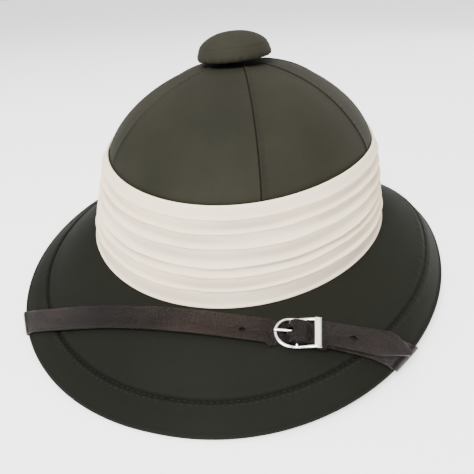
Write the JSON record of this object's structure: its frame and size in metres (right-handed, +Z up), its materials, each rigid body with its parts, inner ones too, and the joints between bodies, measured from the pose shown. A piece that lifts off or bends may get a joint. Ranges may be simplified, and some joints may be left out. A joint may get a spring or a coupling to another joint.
{
  "type": "safari hat",
  "caption": "Sun helmet with a domed panelled crown, a wide sloping brim, a pleated cloth band and a leather chin strap buckled over the front of the brim.",
  "frame": {"origin": "on the floor under the middle of the hat, where the lowest stretches of the brim's edge rest", "axes": "+Z up, -Y to the front of the hat, +X to the viewer's right when the hat is seen from the front"},
  "size_m": [0.303, 0.3514, 0.1609],
  "materials": {
    "olive_cloth": "dark olive woven cotton with a faint sheen",
    "ivory_cotton": "ivory cotton laid in pleats",
    "brown_leather": "dark brown grained leather",
    "nickel": "polished silver-coloured metal"
  },
  "bodies": {
    "root": {"brim": "olive_cloth", "crown": "olive_cloth", "button": "olive_cloth", "puggaree": "ivory_cotton", "strap_long": "brown_leather", "strap_short": "brown_leather", "buckle_frame": "nickel", "buckle_prong": "nickel"}
  },
  "joints": []
}
